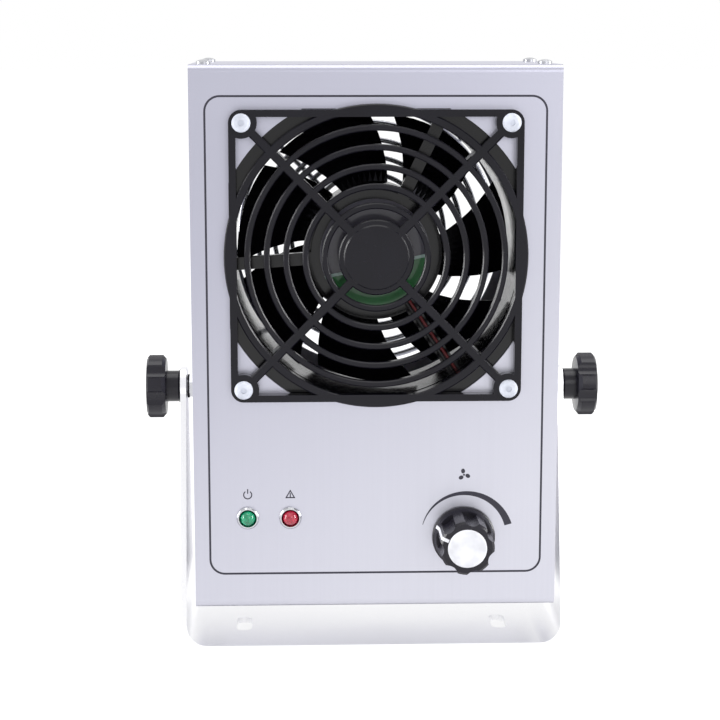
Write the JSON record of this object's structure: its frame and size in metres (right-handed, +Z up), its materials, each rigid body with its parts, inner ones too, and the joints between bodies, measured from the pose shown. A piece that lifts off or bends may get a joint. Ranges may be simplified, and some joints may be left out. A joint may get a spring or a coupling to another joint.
{
  "type": "ionizing blower",
  "caption": "Upright bench air ioniser: steel case with a guarded round fan outlet, speed knob and lamps, tilting in a U-shaped stand held by side clamp knobs.",
  "frame": {"origin": "centre of the underside of the stand's base plate", "axes": "+Z up, the air leaves towards -Y, +X to the right seen from the front"},
  "size_m": [0.1894, 0.1097, 0.2423],
  "materials": {
    "stand_steel": "bright satin, white in strong light",
    "case_steel": "fine brushed stainless steel",
    "bright_steel": "zinc plated",
    "black_plastic": "moulded, semi gloss",
    "black_soft": "matte",
    "white_nylon": "smooth",
    "holder_plastic": "smooth",
    "label_print": "printed",
    "lead_insulation": "smooth",
    "circuit_board": "solder mask",
    "laminated_steel": "lacquered",
    "copper_wire": "enamelled",
    "magnet": "dark",
    "green_lens": "translucent",
    "red_lens": "translucent",
    "potted_module": "cast resin",
    "component_bodies": "mixed",
    "brass_parts": "plain"
  },
  "bodies": {
    "stand": {"stand_bracket": "stand_steel"},
    "case": {"front_shell": "case_steel", "rear_shell": "case_steel", "case_screws": "bright_steel", "front_guard": "black_plastic", "guard_rivets": "white_nylon", "rivet_pins": "white_nylon", "emitter_frame": "black_plastic", "needle_holders": "holder_plastic", "emitter_needles": "bright_steel", "fan_housing": "black_plastic", "fan_label": "label_print", "fan_leads": "lead_insulation", "fan_board": "circuit_board", "fan_stator": "laminated_steel", "stator_coils": "copper_wire", "fan_bearings": "bright_steel", "rear_guard": "bright_steel", "rear_guard_screws": "bright_steel", "rear_guard_nuts": "bright_steel", "potentiometer": "brass_parts", "potentiometer_nut": "bright_steel", "lamp_bezels": "bright_steel", "lamp_nuts": "bright_steel", "power_lamp": "green_lens", "alarm_lamp": "red_lens", "power_inlet": "black_plastic", "inlet_pins": "bright_steel", "inlet_screws": "bright_steel", "inlet_nuts": "bright_steel", "switch_housing": "black_plastic", "hv_module": "potted_module", "control_board": "circuit_board", "board_components": "component_bodies", "board_standoffs": "brass_parts", "floor_screws": "bright_steel", "pivot_inserts": "bright_steel", "pivot_nuts": "bright_steel", "pivot_washers": "black_soft"},
    "rotor": {"fan_rotor": "black_plastic", "rotor_yoke": "magnet", "rotor_magnet": "magnet", "fan_shaft": "bright_steel"},
    "speed_control": {"speed_shaft": "bright_steel", "speed_knob": "black_plastic", "speed_knob_cap": "white_nylon", "speed_pointer": "white_nylon"},
    "left_clamp": {"left_clamp_knob": "black_plastic", "left_clamp_screw": "bright_steel"},
    "right_clamp": {"right_clamp_knob": "black_plastic", "right_clamp_screw": "bright_steel"},
    "power_rocker": {"power_rocker": "black_plastic"},
    "fuse_drawer": {"fuse_drawer": "black_plastic", "fuse": "bright_steel"}
  },
  "joints": [
    {"name": "case_tilt", "type": "hinge", "parent": "stand", "child": "case", "pos_m": [0, 0, 0.10649], "axis": [1, 0, 0], "range_deg": [-90, 90]},
    {"name": "fan_spin", "type": "hinge", "parent": "case", "child": "rotor", "pos_m": [0, 0, 0.16579], "axis": [0, 1, 0], "continuous": true},
    {"name": "speed_turn", "type": "hinge", "parent": "case", "child": "speed_control", "pos_m": [0.0356, -0.0415, 0.05149], "axis": [0, 1, 0], "range_deg": [-83, 217]},
    {"name": "left_clamp_turn", "type": "hinge", "parent": "case", "child": "left_clamp", "pos_m": [-0.08, 0, 0.10649], "axis": [-1, 0, 0], "range_deg": [0, 360]},
    {"name": "right_clamp_turn", "type": "hinge", "parent": "case", "child": "right_clamp", "pos_m": [0.08, 0, 0.10649], "axis": [1, 0, 0], "range_deg": [0, 360]},
    {"name": "power_rock", "type": "hinge", "parent": "case", "child": "power_rocker", "pos_m": [0.03, 0.0419, 0.06249], "axis": [1, 0, 0], "range_deg": [0, 20]},
    {"name": "fuse_pull", "type": "slide", "parent": "case", "child": "fuse_drawer", "axis": [0, 1, 0], "range_m": [0, 0.015]}
  ]
}
